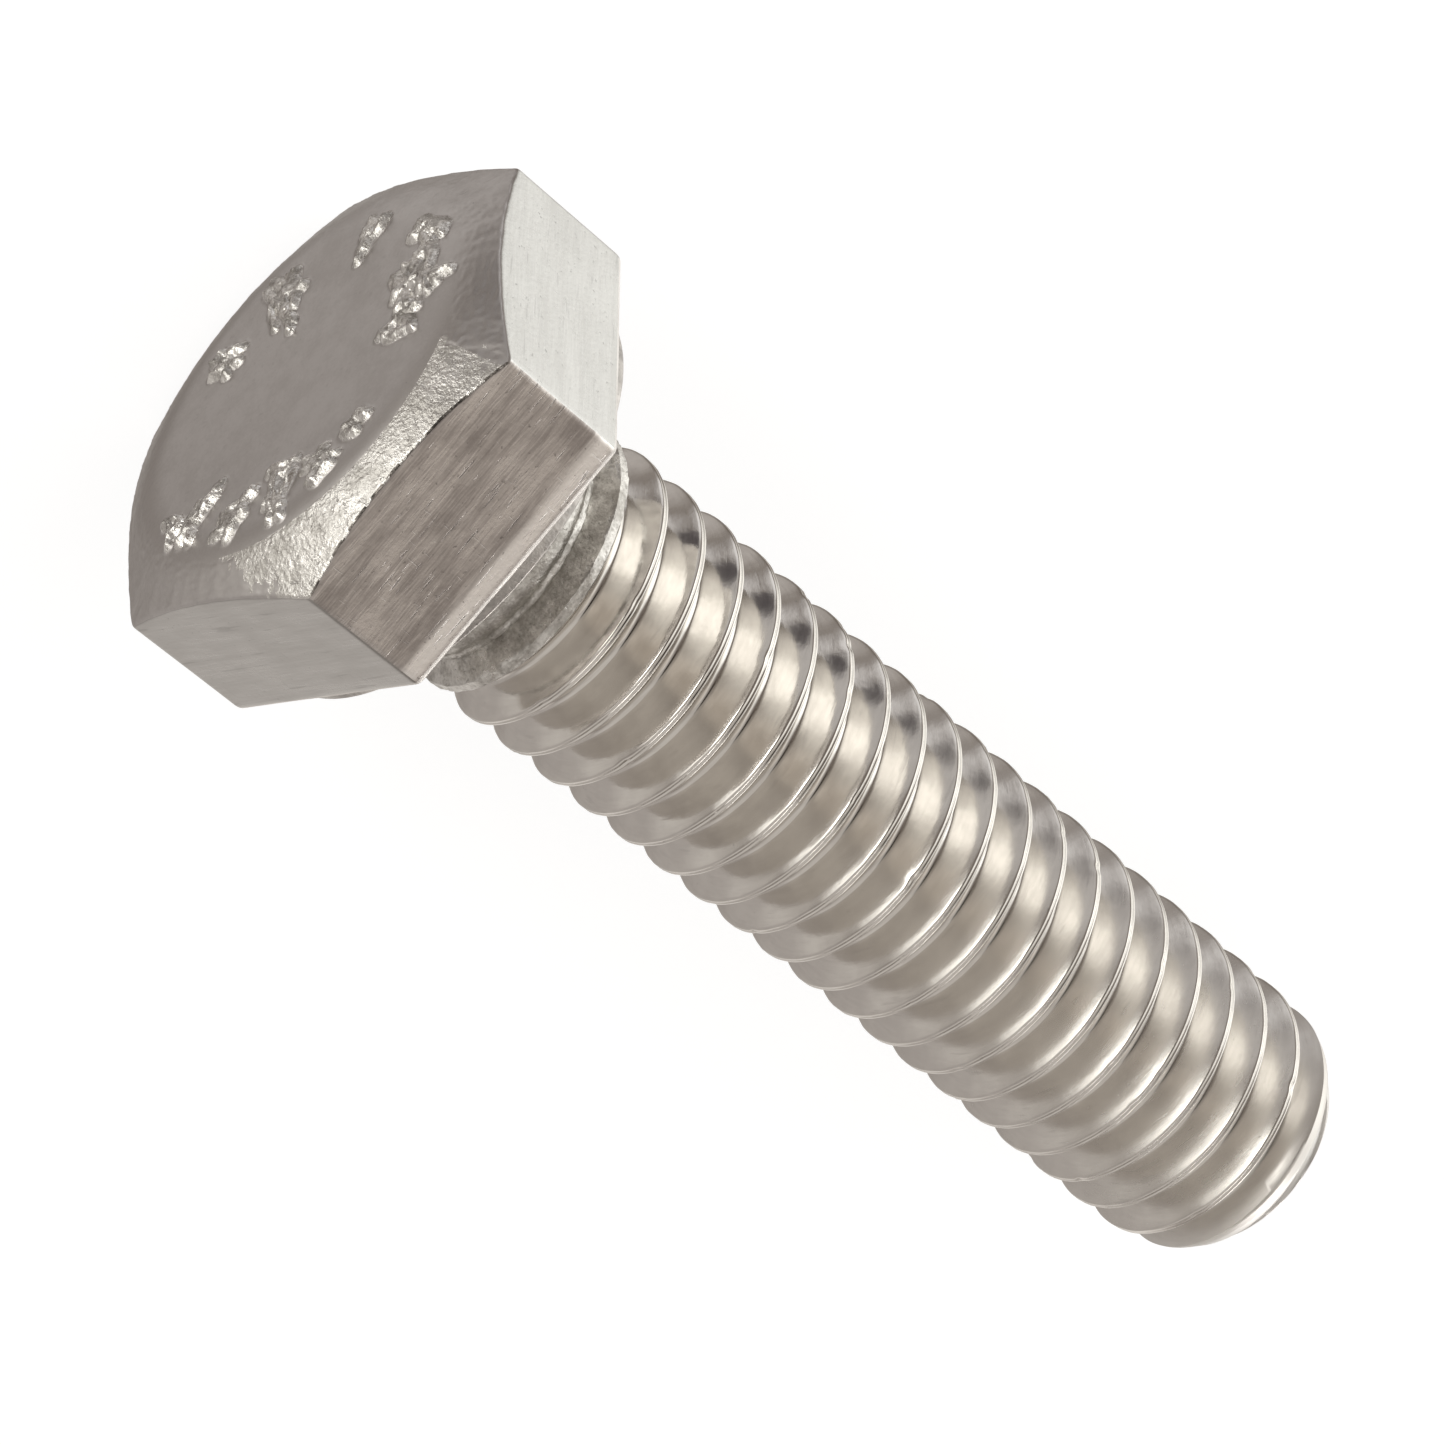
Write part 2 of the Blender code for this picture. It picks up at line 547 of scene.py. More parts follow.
@dataclass(frozen=True)
class RaisedMark:
    """A rough raised blob on the top, made of a few short ridges that lean by chance.

    Attributes:
        degrees: its place round the top, from +Z towards +Y.
        inner, outer: how near the axis and how far out its ridges reach.
        ridges: how many ridges it has.
        width: how far its ridges spread sideways.
    """

    degrees: float
    inner: float
    outer: float
    ridges: int
    width: float


@dataclass
class HexHead:
    """The forged head: top, chamfer, six flats, washer face, fillet and the first of the neck."""

    bearing_x: float
    split_x: float
    across_flats: float = 0.5 * INCH
    height: float = HEAD_HEIGHT
    chamfer_angle: float = radians(25)
    top_circle_inset: float = 1.05 * MM
    corner_round: float = 0.22 * MM
    top_round: float = 0.75 * MM
    edge_round: float = 0.10 * MM
    lower_round: float = 0.30 * MM
    washer_face_height: float = 0.4 * MM
    washer_face_inset: float = 0.3 * MM
    fillet: float = 0.5 * MM
    neck: float = 3.5 * MM
    columns_per_flat: int = 88
    mark_height: float = 0.26 * MM
    mark_share: float = 0.55
    mark_rim_share: float = 0.12
    marks_start: float = 1.8 * MM
    seed: int = 5
    slope: float = 0.08 * MM
    torn_degrees: tuple[float, float] = (-38.0, 29.5)
    torn_inner_extra: tuple[float, float] = (-16.0, 4.0)
    burr_degrees: float = 29.5
    torn_edge: Unevenness = Unevenness(0.35 * MM, 0.022 * MM, 1.7)
    mark_edge: Unevenness = Unevenness(0.45 * MM, 0.09 * MM, 3.1)
    mark_lumps: Unevenness = Unevenness(0.28 * MM, 0.07 * MM, 5.2)
    top_swell: Unevenness = Unevenness(2.2 * MM, 0.012 * MM, 8.0)
    chamfer_tears: Unevenness = Unevenness(0.13 * MM, 0.014 * MM, 2.4)
    flat_dents: Unevenness = Unevenness(2.4 * MM, 0.006 * MM, 6.6)
    burr_gaps: Unevenness = Unevenness(0.5 * MM, 1.0, 7.7)
    burr_gap_level: float = -0.12
    torn_wander: tuple[Unevenness, Unevenness] = (
        Unevenness(0.9 * MM, 5.0, 3.3), Unevenness(0.25 * MM, 9.0, 6.1))
    marks: tuple[RaisedMark, ...] = (
        RaisedMark(-165, 2.9 * MM, 4.6 * MM, 5, 0.9 * MM),
        RaisedMark(161, 2.1 * MM, 4.9 * MM, 8, 1.2 * MM),
        RaisedMark(119, 2.8 * MM, 4.8 * MM, 5, 0.8 * MM),
        RaisedMark(84, 3.9 * MM, 5.2 * MM, 8, 1.5 * MM),
        RaisedMark(65, 3.3 * MM, 5.2 * MM, 13, 2.2 * MM),
        RaisedMark(45, 3.0 * MM, 4.3 * MM, 5, 1.0 * MM),
        RaisedMark(-88, 4.5 * MM, 5.2 * MM, 4, 0.8 * MM),
        RaisedMark(-77, 3.1 * MM, 5.1 * MM, 5, 0.5 * MM),
        RaisedMark(-57, 3.5 * MM, 4.9 * MM, 7, 1.0 * MM),
        RaisedMark(-34, 3.2 * MM, 5.0 * MM, 7, 0.9 * MM),
        RaisedMark(-16, 3.7 * MM, 4.7 * MM, 6, 1.1 * MM),
        RaisedMark(2, 3.9 * MM, 4.5 * MM, 3, 0.8 * MM),
    )

    def angles(self) -> np.ndarray:
        """The columns' angles round the axis from +Z towards +Y, closer together at the corners."""
        steps = np.arange(self.columns_per_flat) / self.columns_per_flat * 2 - 1
        crowded = np.sign(steps) * (1 - (1 - np.abs(steps)) ** 2)
        within = radians(30) * (0.35 * steps + 0.65 * crowded)
        return np.concatenate([within + radians(60) * side for side in range(6)])

    def outline(self, angles: np.ndarray) -> np.ndarray:
        """The distance from the axis to the rounded hexagon.

        Args:
            angles: the columns' angles.

        Returns:
            The radius of each column.
        """
        apothem = self.across_flats / 2
        folded = np.abs((angles + radians(30)) % radians(60) - radians(30))
        flat = apothem / np.cos(folded)
        centre = (apothem - self.corner_round) / cos(radians(30))
        off = radians(30) - folded
        inside = np.maximum(self.corner_round**2 - (centre * np.sin(off)) ** 2, 0.0)
        arc = centre * np.cos(off) + np.sqrt(inside)
        meets = atan((apothem - self.corner_round) * tan(radians(30)) / apothem)
        return np.where(folded > meets, arc, flat)

    def mark_strokes(self) -> list[tuple[np.ndarray, np.ndarray, float]]:
        """The ridges that make up the raised marks.

        Returns:
            Each ridge's start and end as (y, z), and its half width.
        """
        chance = np.random.default_rng(self.seed)
        strokes = []
        for mark in self.marks:
            angle = radians(mark.degrees)
            outwards = np.array((sin(angle), cos(angle)))
            sideways = np.array((cos(angle), -sin(angle)))
            for _ in range(mark.ridges):
                near, far = np.sort(chance.uniform(mark.inner, mark.outer, 2))
                lean = chance.uniform(-0.5, 0.5, 2) * mark.width
                half_width = chance.uniform(0.12, 0.22) * MM
                strokes.append((outwards * near + sideways * lean[0],
                                outwards * far + sideways * lean[1], half_width))
        return strokes

    def mark_relief(self, across: np.ndarray) -> np.ndarray:
        """How far the marks stand up at each point of the top.

        Args:
            across: an array of (y, z).

        Returns:
            The share of the full height, from 0 to 1.
        """
        wobble = self.mark_edge.at(np.c_[np.zeros(len(across)), across])
        relief = np.zeros(len(across))
        for start, end, half_width in self.mark_strokes():
            run = end - start
            share = np.clip((across - start) @ run / (run @ run), 0, 1)
            gap = np.linalg.norm(across - start - share[:, None] * run, axis=1) + wobble
            relief = np.maximum(relief, 1 - np.clip((gap - half_width * 0.3) / (half_width * 1.1), 0, 1))
        return relief

    def rings(self) -> list[tuple[np.ndarray, Zone]]:
        """The rings of (x, radius), from the middle of the top to the split in the neck.

        Returns:
            The rings, each with the finish of the band that ends there.
        """
        angles = self.angles()
        hexagon = self.outline(angles)
        count = len(angles)
        level = np.ones(count)
        top_x = self.bearing_x - self.height
        circle = self.across_flats / 2 - self.top_circle_inset
        edge_x = top_x + (hexagon - circle) * tan(self.chamfer_angle)
        rim_points = np.c_[np.zeros(count), np.sin(angles), np.cos(angles)] * self.across_flats / 2
        edge_x = edge_x + self.torn_edge.at(rim_points)
        lower_x = self.bearing_x - self.washer_face_height
        rim = self.across_flats / 2 - self.washer_face_inset

        def ring(x: np.ndarray | float, radius: np.ndarray | float) -> np.ndarray:
            """One ring from an x and a radius."""
            return np.c_[x * level, radius * level]

        middle = ring(top_x, 0.02 * MM)
        shoulder = ring(top_x, circle)
        edge = ring(edge_x, hexagon)
        lower = ring(lower_x, hexagon)
        step_in = ring(lower_x, rim)
        washer = ring(self.bearing_x, rim)
        hollow = ring(self.bearing_x, self.neck + self.fillet)
        found: list[tuple[np.ndarray, Zone]] = [(ring(top_x, 0.0), Zone.TOP), (middle, Zone.TOP)]

        def lay(points: Sequence[np.ndarray], zone: Zone) -> None:
            """Adds rings of one zone."""
            found.extend((one, zone) for one in points)

        shoulder_arc = round_corner(middle, shoulder, edge, self.top_round, 32)
        edge_arc = round_corner(shoulder, edge, lower, self.edge_round, 5)
        lower_arc = round_corner(edge, lower, step_in, self.lower_round, 9)
        coarse = ring(top_x, self.marks_start)
        lay(straight(middle, coarse, 10) + [coarse], Zone.TOP)
        lay(straight(coarse, shoulder_arc[0], 60), Zone.TOP)
        lay(shoulder_arc[:19], Zone.TOP)
        lay(shoulder_arc[19:], Zone.CHAMFER)
        lay(straight(shoulder_arc[-1], edge_arc[0], 14), Zone.CHAMFER)
        lay(edge_arc[:2], Zone.CHAMFER)
        lay(edge_arc[2:4], Zone.BURR)
        lay(edge_arc[4:], Zone.FLAT)
        lay(straight(edge_arc[-1], lower_arc[0], 20), Zone.FLAT)
        lay(lower_arc[:3], Zone.FLAT)
        lay(lower_arc[3:], Zone.LIP)
        lay(straight(lower_arc[-1], step_in, 4) + [step_in], Zone.UNDERSIDE)
        lay(straight(step_in, washer, 3), Zone.UNDERSIDE)
        lay(round_corner(step_in, washer, hollow, 0.08 * MM, 3), Zone.UNDERSIDE)
        lay(straight(washer, hollow, 5)[1:], Zone.UNDERSIDE)
        for step in range(9):
            turn = pi / 2 * step / 8
            radius = self.neck + self.fillet * (1 - sin(turn))
            lay([ring(self.bearing_x + self.fillet * (1 - cos(turn)), radius)], Zone.UNDERSIDE)
        lay([ring(self.split_x - 0.05 * MM, self.neck), ring(self.split_x, self.neck)], Zone.UNDERSIDE)
        lay([ring(self.split_x, 0.0)], Zone.UNDERSIDE)
        return found

    def build(self) -> bpy.types.Object:
        """Makes the head's mesh.

        Returns:
            The object, with faces sorted by zone.
        """
        angles = self.angles()
        skin = Skin("forged_head")
        rings = self.rings()
        count = len(angles)
        stack = np.concatenate([points for points, _ in rings])
        turn = np.tile(angles, len(rings))
        places = np.c_[stack[:, 0], stack[:, 1] * np.sin(turn), stack[:, 1] * np.cos(turn)]
        zones = np.repeat([zone.value for _, zone in rings], count)
        self.wear_down(places, stack[:, 1], turn, zones)
        for place, (_, zone) in enumerate(rings):
            skin.add_row(places[place * count:(place + 1) * count], zone)
        obj = skin.build()
        self.sort_zones(obj)
        return obj

    def wear_down(self, places: np.ndarray, radii: np.ndarray, turn: np.ndarray,
                  zones: np.ndarray) -> None:
        """Raises the marks, roughens the chamfer, dents the flats and slopes the sheared top.

        Args:
            places: the points as (x, y, z), which this moves.
            radii: their distances from the axis.
            turn: their angles round it.
            zones: the values of their zones.
        """
        radial = np.c_[np.zeros(len(turn)), np.sin(turn), np.cos(turn)]
        top_x = self.bearing_x - self.height
        on_top = zones == Zone.TOP.value
        relief = self.mark_relief(places[on_top][:, 1:])
        lumps = self.mark_lumps.at(places[on_top]) * relief
        places[on_top, 0] -= relief * self.mark_height * self.mark_share + lumps
        middle_share = np.clip((5.6 * MM - radii[on_top]) / MM, 0, 1)
        places[on_top, 0] += self.top_swell.at(places[on_top]) * middle_share
        rough = zones == Zone.CHAMFER.value
        places[rough, 0] += self.chamfer_tears.at(places[rough])
        flat = zones == Zone.FLAT.value
        places[flat] += radial[flat] * (self.flat_dents.at(places[flat]) - 0.003 * MM)[:, None]
        depth = self.height - self.washer_face_height
        lean = np.clip(-places[:, 2] / (self.across_flats / 2), 0, 1)
        places[:, 0] += self.slope * lean * np.clip((top_x + depth - places[:, 0]) / depth, 0, 1)

    def sort_zones(self, obj: bpy.types.Object) -> None:
        """Gives the marks, the torn edge and the calmer sides their own zones, and the sides towards -Y a
        darker copy of the side finish as painted shade.

        The stock was sheared on the side of the upper flat, so only that side is torn and burred.

        Args:
            obj: the head.
        """
        faces = obj.data.polygons
        centres = face_centres(obj)
        slots = np.empty(len(faces), dtype=np.int32)
        faces.foreach_get("material_index", slots)
        radius = np.hypot(centres[:, 1], centres[:, 2])
        turn = np.degrees(np.arctan2(centres[:, 1], centres[:, 2]))
        near = (slots == Zone.TOP.value) & (radius > self.marks_start)
        marked = np.zeros(len(faces), dtype=bool)
        marked[near] = self.mark_relief(centres[near][:, 1:]) > self.mark_rim_share
        slots[marked] = Zone.MARK.value
        burrs = np.flatnonzero(slots == Zone.BURR.value)
        whole = self.burr_gaps.at(centres[burrs]) > self.burr_gap_level
        upper = np.abs(turn[burrs]) < self.burr_degrees
        slots[burrs[~(whole & upper)]] = Zone.CHAMFER.value
        wander = sum(layer.at(centres) for layer in self.torn_wander)
        circle = self.across_flats / 2 - self.top_circle_inset
        inner = 1 - np.clip((radius - circle) / (1.4 * MM), 0, 1)
        low, high = (edge + extra * inner for edge, extra in zip(self.torn_degrees, self.torn_inner_extra))
        calm = (turn + wander < low) | (turn + 0.4 * wander > high)
        slots[(slots == Zone.CHAMFER.value) & calm] = Zone.TOP.value
        flats = slots == Zone.FLAT.value
        slots[flats & (turn > 30)] = Zone.SIDE.value
        # Painted shade: the flats towards -Y take a darker copy of the side finish.
        slots[flats & (turn < -30)] = Zone.SHADED_SIDE.value
        faces.foreach_set("material_index", slots)

    def dress(self, obj: bpy.types.Object) -> None:
        """Gives each zone its finish.

        Args:
            obj: the head.
        """
        lower_x = self.bearing_x - self.washer_face_height
        finishes = (
            SteelFinish("satin_top", pale=(0.60, 0.575, 0.555), deep=(0.54, 0.515, 0.495),
                        gloss_low=0.28, gloss_high=0.38, grain=Grain.NONE,
                        line_size=0.10 * MM, line_depth=1.0 * MICRON,
                        pit_size=0.25 * MM, pit_depth=1.2 * MICRON,
                        patch_size=2.2 * MM, scratches=0.25, pit_level=0.20),
            SteelFinish("torn_chamfer", pale=(0.84, 0.82, 0.78), deep=(0.58, 0.56, 0.52),
                        gloss_low=0.20, gloss_high=0.36, grain=Grain.NONE,
                        line_size=0.12 * MM, line_depth=14 * MICRON,
                        pit_size=0.10 * MM, pit_depth=26 * MICRON,
                        patch_size=0.6 * MM, scratches=0.5, pit_level=0.27),
            SteelFinish("brushed_flat", pale=(0.61, 0.565, 0.53), deep=(0.33, 0.295, 0.275),
                        gloss_low=0.22, gloss_high=0.38, grain=Grain.ROUND_THE_AXIS,
                        line_size=0.045 * MM, line_depth=3.4 * MICRON,
                        pit_size=0.15 * MM, pit_depth=9.0 * MICRON,
                        patch_size=1.6 * MM, scratches=1.3, pit_level=0.29,
                        # Painted highlight: the flat turns near-white towards its lower edge, for the light
                        # that edge catches.
                        pale_stretch=PaleStretch(lower_x - 0.95 * MM, lower_x - 0.50 * MM, (0.93, 0.89, 0.85))),
            SteelFinish("dull_underside", pale=(0.58, 0.55, 0.52), deep=(0.40, 0.38, 0.36),
                        gloss_low=0.32, gloss_high=0.5, grain=Grain.NONE,
                        line_size=0.09 * MM, line_depth=8 * MICRON,
                        pit_size=0.12 * MM, pit_depth=18 * MICRON,
                        patch_size=0.8 * MM, scratches=0.4, pit_level=0.28),
            SteelFinish("rough_mark", pale=(0.92, 0.90, 0.86), deep=(0.44, 0.42, 0.39),
                        gloss_low=0.12, gloss_high=0.26, grain=Grain.NONE,
                        line_size=0.12 * MM, line_depth=14 * MICRON,
                        pit_size=0.11 * MM, pit_depth=24 * MICRON,
                        patch_size=0.4 * MM, scratches=0.5, pit_level=0.28),
            SteelFinish("dark_burr", pale=(0.34, 0.31, 0.28), deep=(0.05, 0.045, 0.04),
                        gloss_low=0.3, gloss_high=0.5, grain=Grain.NONE,
                        line_size=0.10 * MM, line_depth=14 * MICRON,
                        pit_size=0.09 * MM, pit_depth=20 * MICRON,
                        patch_size=0.3 * MM, scratches=0.2, pit_level=0.2),
            SteelFinish("smooth_side", pale=(0.585, 0.58, 0.56), deep=(0.53, 0.525, 0.505),
                        gloss_low=0.22, gloss_high=0.30, grain=Grain.ROUND_THE_AXIS,
                        line_size=0.06 * MM, line_depth=1.2 * MICRON,
                        pit_size=0.15 * MM, pit_depth=10 * MICRON,
                        patch_size=2.6 * MM, scratches=0.5, pit_level=0.285),
            # Painted highlight: the rounded lower edge round the head is pale for the light it catches; its
            # higher roughness is its own.
            SteelFinish("painted_highlight_lip", pale=(0.80, 0.775, 0.745), deep=(0.70, 0.675, 0.65),
                        gloss_low=0.50, gloss_high=0.65, grain=Grain.ROUND_THE_AXIS,
                        line_size=0.07 * MM, line_depth=2.0 * MICRON,
                        pit_size=0.13 * MM, pit_depth=6.0 * MICRON,
                        patch_size=1.2 * MM, scratches=0.4, pit_level=0.25),
            # Painted shade: a darker, slightly rougher copy of smooth_side for the flats towards -Y.
            SteelFinish("painted_shade_side", pale=(0.455, 0.44, 0.42), deep=(0.405, 0.39, 0.37),
                        gloss_low=0.24, gloss_high=0.34, grain=Grain.ROUND_THE_AXIS,
                        line_size=0.06 * MM, line_depth=1.2 * MICRON,
                        pit_size=0.13 * MM, pit_depth=5 * MICRON,
                        patch_size=2.2 * MM, scratches=0.5, pit_level=0.26),
        )
        for finish in finishes:
            obj.data.materials.append(finish.material())


@dataclass
class ThreadedShank:
    """The rolled shank from the split in the neck to the flat end of the point.

    Angles run from +Y towards +Z here. The first ridge is the one that the dies left rough.
    """

    bearing_x: float
    split: float
    length: float = 1.25 * INCH
    major: float = 7.85 * MM / 2
    neck: float = 3.5 * MM
    pitch: float = INCH / 18
    depth_share: float = 0.6134
    crest_share: float = 1 / 8
    root_share: float = 1 / 6
    ridge_half: float = 0.16 * MM
    ridge_drop: float = 0.11 * MM
    start_angle: float = radians(219)
    groove: float = 0.14 * MM
    end_radius: float = 3.05 * MM
    point_angle: float = radians(30)
    columns: int = 192
    crest_shape: tuple[tuple[float, float], ...] = (
        (0.092, 0.072 * MM), (0.074, 0.034 * MM), (0.060, 0.012 * MM),
        (0.042, 0.0), (0.022, 0.006 * MM), (0.006, 0.026 * MM))
    start_grit: tuple[Unevenness, Unevenness] = (
        Unevenness(0.16 * MM, 0.035 * MM, 4.4), Unevenness(0.5 * MM, 0.03 * MM, 2.9))
    crest_grit: tuple[Unevenness, Unevenness] = (
        Unevenness(0.5 * MM, 0.008 * MM, 9.1), Unevenness(0.19 * MM, 0.005 * MM, 5.7))
    crest_depth: float = 0.12 * MM
    seed: int = 11

    def profile(self) -> list[tuple[float, float]]:
        """One pitch of the thread as (place, radius), from the middle of a root to the next."""
        minor = self.major - self.depth_share * self.pitch
        root = self.root_share / 2
        crest = self.crest_share / 2
        rise = self.major - minor
        points = [(0.0, minor), (root * 0.7, minor + 0.01 * rise), (root, minor + 0.04 * rise),
                  (root * 1.35, minor + 0.11 * rise)]
        for share in (0.4, 0.75):
            place = root + (0.5 - crest - root) * share
            points.append((place, minor + rise * share))
        for place, drop in self.crest_shape:
            points.append((0.5 - place, self.major - drop))
        mirrored = [(1 - place, radius) for place, radius in reversed(points[1:])]
        return [(place * self.pitch, radius) for place, radius in points + mirrored]

    def lead(self, angles: np.ndarray | float) -> np.ndarray | float:
        """How far the thread has moved along the axis at each angle."""
        return self.pitch * (angles - pi / 2 - self.start_angle) / (2 * pi)

    def around(self, along: np.ndarray, reach: np.ndarray, angles: np.ndarray) -> np.ndarray:
        """Points on the shank.

        Args:
            along: distances from the bearing face.
            reach: distances from the axis.
            angles: angles round it.

        Returns:
            An array of (x, y, z).
        """
        return np.c_[self.bearing_x + along, reach * np.cos(angles), reach * np.sin(angles)]

    def first_crest(self, angles: np.ndarray) -> np.ndarray:
        """Where the first rolled ridge runs, going back towards the head on the far side.

        Args:
            angles: the columns' angles from +Y towards +Z.

        Returns:
            The ridge's distance from the bearing face at each angle.
        """
        facing = radians(88)
        helical = 130
        off = np.degrees((angles - facing + pi) % (2 * pi) - pi)
        climb = np.interp(off, (-180, -helical, helical, 180), (0, -helical / 360, helical / 360, 0))
        middle = (facing - pi / 2 - self.start_angle) / (2 * pi) + 2.5
        return self.pitch * (middle + climb)

    def limits(self, along: np.ndarray, angles: np.ndarray) -> tuple[np.ndarray, np.ndarray]:
        """The least and the most radius at each distance from the bearing face.

        Args:
            along: distances from the bearing face.
            angles: the columns' angles.

        Returns:
            The core's radius and the envelope's.
        """
        minor = self.major - self.depth_share * self.pitch - 0.1 * MM
        clear = self.major + 0.25 * MM
        before = along - self.first_crest(angles)
        core = np.interp(before, (-0.95 * MM, -0.80 * MM, -0.60 * MM, -0.45 * MM),
                         (self.neck, self.neck - self.groove, self.neck - self.groove, minor))
        opening = np.interp(before, (-0.55 * MM, -0.35 * MM, self.ridge_half, self.ridge_half + 0.12 * MM),
                            (self.neck, self.major - self.ridge_drop, self.major - self.ridge_drop, clear))
        tip = (self.major - self.end_radius) / tan(self.point_angle)
        tip_along = self.length - tip * np.array((1.7, 1.5, 0.85, 0.45, 0.14, 0.0))
        tip_radius = self.end_radius + (self.major - self.end_radius) * np.array(
            (1.3, 1.0, 0.90, 0.65, 0.28, 0.0))
        return core, np.minimum(opening, np.interp(along, tip_along, tip_radius))

    def build(self) -> bpy.types.Object:
        """Makes the shank's mesh.

        Returns:
            The object.
        """
        profile = self.profile()
        first = -2 * self.pitch
        turns = int(self.length / self.pitch) + 3
        angles = np.arange(self.columns) / self.columns * 2 * pi
        rows = [self.row(first + turn * self.pitch + place + self.lead(angles), radius, angles)
                for turn in range(turns + 4) for place, radius in profile]
        stack = np.concatenate(rows)
        turn = np.tile(angles, len(rows))
        along, reach = stack.T
        points = self.around(along, reach + self.marring(along, reach, turn, turns), turn)
        skin = Skin("rolled_thread")
        middle = np.zeros((self.columns, 3))
        skin.add_row(middle + (self.bearing_x + self.split, 0, 0), ThreadZone.ROLLED)
        for row in range(len(rows)):
            skin.add_row(points[row * self.columns:(row + 1) * self.columns], ThreadZone.ROLLED)
        skin.add_row(middle + (self.bearing_x + self.length, 0, 0), ThreadZone.ROLLED)
        obj = skin.build(seam=len(profile), sharp_degrees=50)
        self.sort_zones(obj)
        self.crease_end(obj)
        return obj

    def row(self, along: np.ndarray, radius: float, angles: np.ndarray) -> np.ndarray:
        """One row of the thread, held between the neck, the ends and the point's chamfer.

        Args:
            along: the row's distances from the bearing face.
            radius: the thread's radius on this row.
            angles: the columns' angles.

        Returns:
            An array of (distance from the bearing face, distance from the axis).
        """
        core, envelope = self.limits(along, angles)
        reach = np.clip(np.full(len(angles), radius), core, np.maximum(core, envelope))
        reach = np.where(along > self.length, self.end_radius, reach)
        reach = np.where(along < self.split, self.neck, reach)
        return np.c_[np.clip(along, self.split, self.length), reach]

    def marring(self, along: np.ndarray, reach: np.ndarray, turn: np.ndarray, turns: int) -> np.ndarray:
        """How far the rough start, the crests' grit and the nicks move the surface outwards.

        Args:
            along: distances from the bearing face.
            reach: distances from the axis.
            turn: angles round it.
            turns: how many turns the thread has.

        Returns:
            The change of radius at each point.
        """
        points = self.around(along, reach, turn)
        inside = (along > self.split + 0.02 * MM) & (along < self.length - 0.02 * MM)
        start = self.rough_start(along, turn) * inside
        crest = np.clip((reach - self.major + self.crest_depth) / self.crest_depth, 0, 1) * inside
        change = sum(layer.at(points) for layer in self.start_grit) * start
        for layer in self.crest_grit:
            change += layer.at(points) * crest
        for centre, size, depth in self.nick_places(turns):
            gap = np.linalg.norm(points - centre, axis=1)
            change -= depth * np.exp(-(gap / size) ** 2) * crest
        return change

    def crease_end(self, obj: bpy.types.Object) -> None:
        """Marks the edges in the flat end sharp, so that the end looks flat.

        Args:
            obj: the shank.
        """
        end_x = self.bearing_x + self.length
        mesh = obj.data
        for edge in mesh.edges:
            if all(abs(mesh.vertices[corner].co.x - end_x) < MICRON for corner in edge.vertices):
                edge.use_edge_sharp = True

    def rough_start(self, along: np.ndarray, angles: np.ndarray) -> np.ndarray:
        """Where the neck and the first ridge are, which the dies left rough.

        Args:
            along: distances from the bearing face.
            angles: angles from +Y towards +Z.

        Returns:
            True at each rough place.
        """
        return along < self.first_crest(angles) + self.ridge_half + 0.03 * MM

    def sort_zones(self, obj: bpy.types.Object) -> None:
        """Gives the rough start a finish of its own.

        Args:
            obj: the shank.
        """
        centres = face_centres(obj)
        along = centres[:, 0] - self.bearing_x
        rough = self.rough_start(along, np.arctan2(centres[:, 2], centres[:, 1]))
        slots = np.where(rough, ThreadZone.ROUGH_START.value, ThreadZone.ROLLED.value).astype(np.int32)
        obj.data.polygons.foreach_set("material_index", slots)

    def nick_places(self, turns: int) -> list[tuple[np.ndarray, float, float]]:
        """The small dents along the crests.

        Args:
            turns: how many turns the thread has.

        Returns:
            Each dent's place, size and depth.
        """
        chance = np.random.default_rng(self.seed)
        found = []
        for turn in range(2, turns - 2):
            for _ in range(3):
                angle = chance.uniform(0, 2 * pi)
                along = (turn - 0.5) * self.pitch + self.lead(angle)
                place = np.array((self.bearing_x + along, self.major * cos(angle), self.major * sin(angle)))
                found.append((place, chance.uniform(0.06, 0.16) * MM, chance.uniform(0.02, 0.07) * MM))
        return found

    def dress(self, obj: bpy.types.Object) -> None:
        """Gives the thread its finish.

        Args:
            obj: the shank.
        """
        end_x = self.bearing_x + self.length
        finishes = (
            SteelFinish("rolled_steel", pale=(0.745, 0.715, 0.67), deep=(0.68, 0.65, 0.61),
                        gloss_low=0.09, gloss_high=0.16, grain=Grain.ROUND_THE_AXIS,
                        line_size=0.05 * MM, line_depth=0.8 * MICRON,
                        pit_size=0.16 * MM, pit_depth=1.4 * MICRON,
                        patch_size=0.7 * MM, scratches=0.3, pit_level=0.215, wave_depth=5 * MICRON,
                        dulls=(Dulling(-8 * MM, 15 * MM, 0.13),
                               Dulling(end_x - 1.9 * MM, end_x - 0.7 * MM, 0.24)),
                        pale_stretch=PaleStretch(end_x - 1.3 * MM, end_x - 0.4 * MM, (0.78, 0.765, 0.74))),
            SteelFinish("rough_start", pale=(0.74, 0.72, 0.68), deep=(0.40, 0.38, 0.35),
                        gloss_low=0.24, gloss_high=0.42, grain=Grain.NONE,
                        line_size=0.09 * MM, line_depth=10 * MICRON,
                        pit_size=0.10 * MM, pit_depth=18 * MICRON,
                        patch_size=0.7 * MM, scratches=0.5, pit_level=0.28),
        )
        for finish in finishes:
            obj.data.materials.append(finish.material())


@dataclass(frozen=True)
class SoftBox:
    """A soft patch of light in the studio, as seen from the bolt."""

    towards: tuple[float, float, float]
    core_degrees: float
    fade_degrees: float
    tone: Colour


